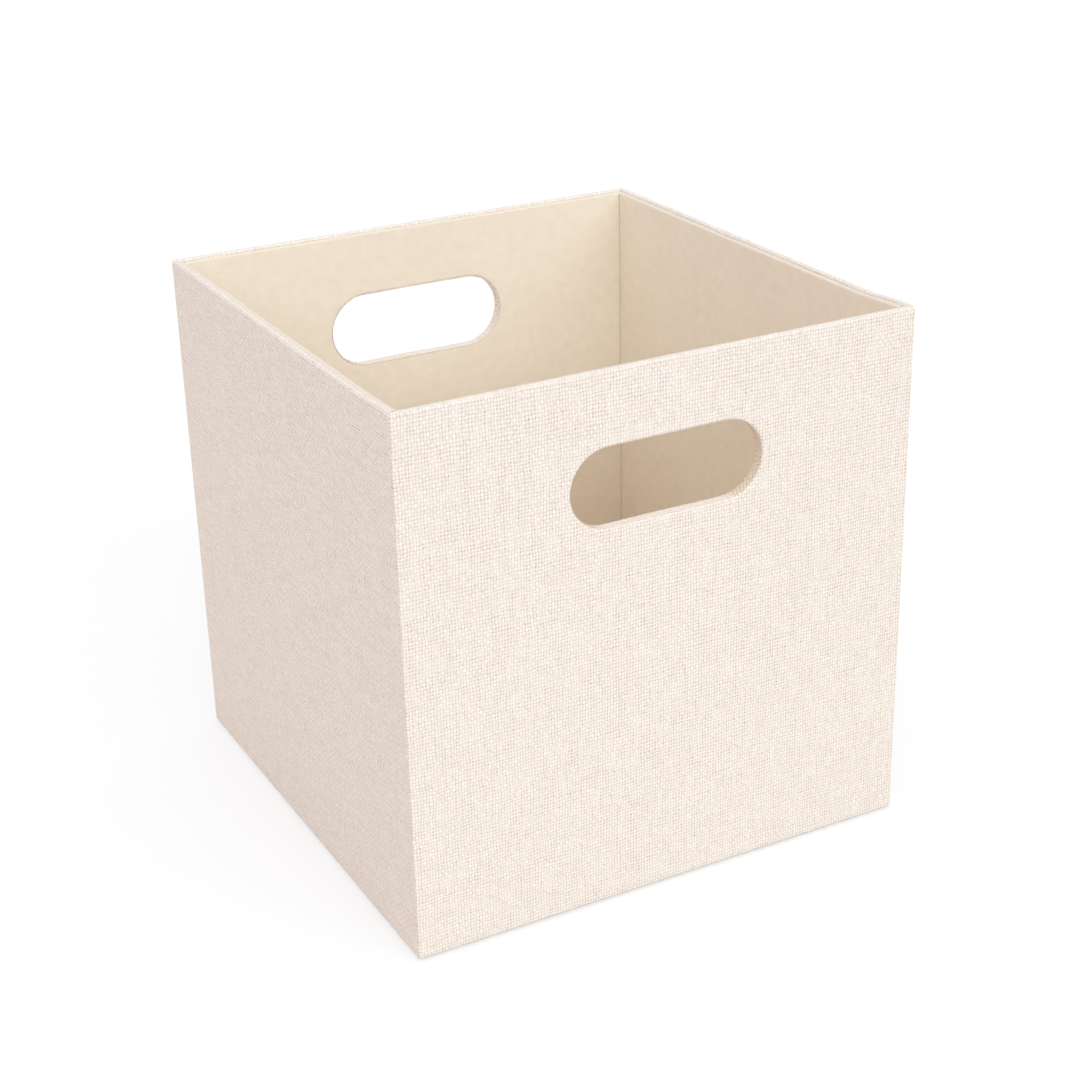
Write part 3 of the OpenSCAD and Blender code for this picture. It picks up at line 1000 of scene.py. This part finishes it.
def lining_material():
    """Beige non-woven cloth with a fine slanting emboss, and painted shade along its top edge."""
    m = Shader("non_woven", Roughness=0.92, Sheen_Weight=0.08, Sheen_Roughness=0.6)
    m.out.inputs["Specular IOR Level"].default_value = 0.2
    place, u, v, top_shade = m.cloth()
    p, q = m.add(u, v), m.less(u, v)
    wander = m.noise(m.vector(u, v, 2.0), 90, 1)
    cloud = m.noise(place, 35, 3)
    bars = m.math("SINE", m.times_add(p, 2 * math.pi / EMBOSS_PITCH, m.times(wander, 5)))
    cross = m.math("SINE", m.times_add(q, 2 * math.pi / EMBOSS_PITCH, m.times(wander, 4)))
    pattern = m.times(m.add(bars, cross), m.step(cloud, 0.35, 0.65, 0.15, 0.5))
    fibre = m.noise(m.vector(m.times(p, 2600), m.times(q, 900), 1.1), 1, 3, 0.6)
    speck = m.noise(place, 2600, 2)
    blotch = m.noise(m.vector(u, v, 6.0), 170, 3)
    shade = m.add(m.times_add(pattern, 0.012, 1.0), m.spread(fibre, 0.03))
    shade = m.add(shade, m.add(m.spread(cloud, 0.05), m.spread(blotch, 0.13)))
    # Painted shade: darker along the top edge
    shade = m.times(shade, m.times_add(top_shade, -0.1, 1.0))
    warm = m.mix(m.times_add(pattern, 0.25, 0.5), linear(LINING_DARK), linear(LINING_LIGHT))
    m.colour(m.scaled(warm, shade))
    m.bump(m.add(m.times(pattern, 0.2), m.times_add(fibre, 0.6, m.times(speck, 0.3))), LINING_BUMP)
    return m.material


def fibre_material(name, dark, light, speck_colour, grain, roughness):
    """Pulp board or paper: fine fibres, soft clouds and a few specks."""
    m = Shader(name, Roughness=roughness)
    m.out.inputs["Specular IOR Level"].default_value = 0.3
    place = m.object_place()
    fibre = m.noise(place, grain, 4, 0.65)
    cloud = m.noise(place, 25, 2)
    speck = m.step(m.noise(place, grain * 0.6, 1), 0.68, 0.76)
    base = m.mix(m.math("MULTIPLY_ADD", fibre, 0.7, m.times(cloud, 0.3)), linear(dark), linear(light))
    m.colour(m.mix(m.times(speck, 0.5), base, linear(speck_colour)))
    m.bump(fibre, 0.06 * MM)
    return m.material


woven = woven_material()
lining = lining_material()
greyboard = fibre_material("greyboard", (150, 139, 124), (184, 172, 155), (112, 100, 88), 900, 0.9)
card = fibre_material("panel_card", (190, 178, 158), (214, 203, 184), (160, 146, 124), 1100, 0.85)
kraft = fibre_material("stay_paper", (160, 125, 86), (194, 160, 116), (128, 96, 62), 1400, 0.8)


# --------------------------------------------------
# The object
# --------------------------------------------------


def fit_out(made, material, body, slot, *nodes):
    """Gives a made cloth its material and its body, and hides the nodes it stands for; slot is not used."""
    piece, size = made
    print("cut of", piece.name, *(round(x, 4) for x in size))
    piece.data.materials.clear()
    piece.data.materials.append(material)
    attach(piece, body)
    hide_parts(*nodes)


for side in SIDES:
    fit_out(make_cover(side), woven, "bin", "woven_cover", f"{side}_cover")
    fit_out(make_lining(side), lining, "bin", "lining", f"{side}_lining")
fit_out(make_underside(), lining, "bin", "lining", "underside_sheet")
fit_out(make_insert(), lining, "base_insert", "lining", "insert_lining")

BOARD_MATERIALS = {"greyboard": greyboard, "panel_card": card, "stay_paper": kraft}
for subpart in frame["record"]["subparts"]:
    material = BOARD_MATERIALS.get(subpart["material_slot"])
    if material:
        node = frame["nodes"][subpart["node"]]
        node.data.materials.clear()
        node.data.materials.append(material)


# --------------------------------------------------
# Floor, light and camera
# --------------------------------------------------

FLOOR_SIZE = 12.0
FLOOR_BOUNCE = (0.755, 0.705, 0.695)
FLOOR_SEEN = 0.5
FLOOR_COLOUR = (0.985, 1.0, 1.015)
FLOOR_LIFT = 0.5
HORIZON_STRENGTH = 0.6
ZENITH_STRENGTH = 1.1
WORLD_COLOUR = (1.0, 0.965, 0.97, 1)
KEY_STRENGTH = 0.285
KEY_COLOUR = (0.91, 1.08, 1.12)
KEY_AZIMUTHS = (-42, -18, 6, 30)
KEY_ELEVATION = 27
KEY_ANGLE = 20

VIEW_AZIMUTH, VIEW_ELEVATION, VIEW_ROLL = -27.776, 23.994, -1.442
VIEW_DISTANCE = 1.01592
VIEW_PAN = (4.082 * MM, -3.277 * MM)
VIEW_TARGET = (0, 0, HEIGHT / 2)
LENS, SENSOR = 69.40, 36.0


def make_floor():
    mesh = bpy.data.meshes.new("floor")
    half = FLOOR_SIZE / 2
    corners = [(-half, -half, 0), (half, -half, 0), (half, half, 0), (-half, half, 0)]
    mesh.from_pydata(corners, [], [(0, 1, 2, 3)])
    floor = bpy.data.objects.new("floor", mesh)
    bpy.context.scene.collection.objects.link(floor)
    m = Shader("floor")
    m.nodes.remove(m.out)
    diffuse = m.nodes.new("ShaderNodeBsdfDiffuse")
    lift = m.nodes.new("ShaderNodeEmission")
    both = m.nodes.new("ShaderNodeAddShader")
    seen = m.nodes.new("ShaderNodeLightPath").outputs["Is Camera Ray"]
    to_camera = (*(FLOOR_SEEN * c for c in FLOOR_COLOUR), 1)
    m.plug(m.mix(seen, (*FLOOR_BOUNCE, 1), to_camera), diffuse.inputs["Color"])
    m.plug(m.times(seen, FLOOR_LIFT), lift.inputs["Strength"])
    m.plug(diffuse.outputs[0], both.inputs[0])
    m.plug(lift.outputs[0], both.inputs[1])
    m.plug(both.outputs[0], m.nodes["Material Output"].inputs["Surface"])
    mesh.materials.append(m.material)


def make_world():
    world = bpy.data.worlds.new("studio")
    world.use_nodes = True
    nodes, links = world.node_tree.nodes, world.node_tree.links
    nodes.clear()
    light = nodes.new("ShaderNodeBackground")
    light.inputs["Color"].default_value = WORLD_COLOUR
    towards = nodes.new("ShaderNodeSeparateXYZ")
    links.new(nodes.new("ShaderNodeTexCoord").outputs["Generated"], towards.inputs[0])
    strength = nodes.new("ShaderNodeMapRange")
    strength.inputs["To Min"].default_value = HORIZON_STRENGTH
    strength.inputs["To Max"].default_value = ZENITH_STRENGTH
    links.new(towards.outputs["Z"], strength.inputs["Value"])
    links.new(strength.outputs[0], light.inputs["Strength"])
    white = nodes.new("ShaderNodeBackground")
    white.inputs["Color"].default_value = (1, 1, 1, 1)
    white.inputs["Strength"].default_value = 1.0
    path = nodes.new("ShaderNodeLightPath")
    seen = path.outputs["Is Camera Ray"]
    for name in ("Is Glossy Ray", "Is Transmission Ray"):
        either = nodes.new("ShaderNodeMath")
        either.operation = "MAXIMUM"
        links.new(seen, either.inputs[0])
        links.new(path.outputs[name], either.inputs[1])
        seen = either.outputs[0]
    chosen = nodes.new("ShaderNodeMixShader")
    links.new(seen, chosen.inputs[0])
    links.new(light.outputs[0], chosen.inputs[1])
    links.new(white.outputs[0], chosen.inputs[2])
    out = nodes.new("ShaderNodeOutputWorld")
    links.new(chosen.outputs[0], out.inputs["Surface"])
    bpy.context.scene.world = world


def direction(azimuth, elevation):
    """Towards a place round the bin, in radians. Azimuth 0 is in front."""
    level = math.cos(elevation)
    return Vector((math.sin(azimuth) * level, -math.cos(azimuth) * level, math.sin(elevation)))


def make_key():
    """A wide, low softbox in front, as a row of soft suns."""
    lamp = bpy.data.lights.new("key", "SUN")
    lamp.energy = KEY_STRENGTH
    lamp.color = KEY_COLOUR
    lamp.angle = math.radians(KEY_ANGLE)
    for number, azimuth in enumerate(KEY_AZIMUTHS):
        source = direction(math.radians(azimuth), math.radians(KEY_ELEVATION))
        key = bpy.data.objects.new(f"key_{number}", lamp)
        key.rotation_mode = "QUATERNION"
        key.rotation_quaternion = source.to_track_quat("Z", "Y")
        bpy.context.scene.collection.objects.link(key)


def make_camera():
    azimuth, elevation, roll = (math.radians(x) for x in (VIEW_AZIMUTH, VIEW_ELEVATION, VIEW_ROLL))
    back = direction(azimuth, elevation)
    level = Vector((math.cos(azimuth), math.sin(azimuth), 0))
    upright = back.cross(level)
    across = level * math.cos(roll) + upright * math.sin(roll)
    up = upright * math.cos(roll) - level * math.sin(roll)
    place = Vector(VIEW_TARGET) + back * VIEW_DISTANCE + across * VIEW_PAN[0] + up * VIEW_PAN[1]
    camera = bpy.data.objects.new("camera", bpy.data.cameras.new("camera"))
    camera.data.lens = LENS
    camera.data.sensor_width = SENSOR
    camera.data.clip_start = 0.05
    camera.matrix_world = Matrix(
        (
            (across.x, up.x, back.x, place.x),
            (across.y, up.y, back.y, place.y),
            (across.z, up.z, back.z, place.z),
            (0, 0, 0, 1),
        )
    )
    bpy.context.scene.collection.objects.link(camera)
    bpy.context.scene.camera = camera


make_floor()
make_world()
make_key()
make_camera()
bpy.context.scene.view_settings.view_transform = "Standard"
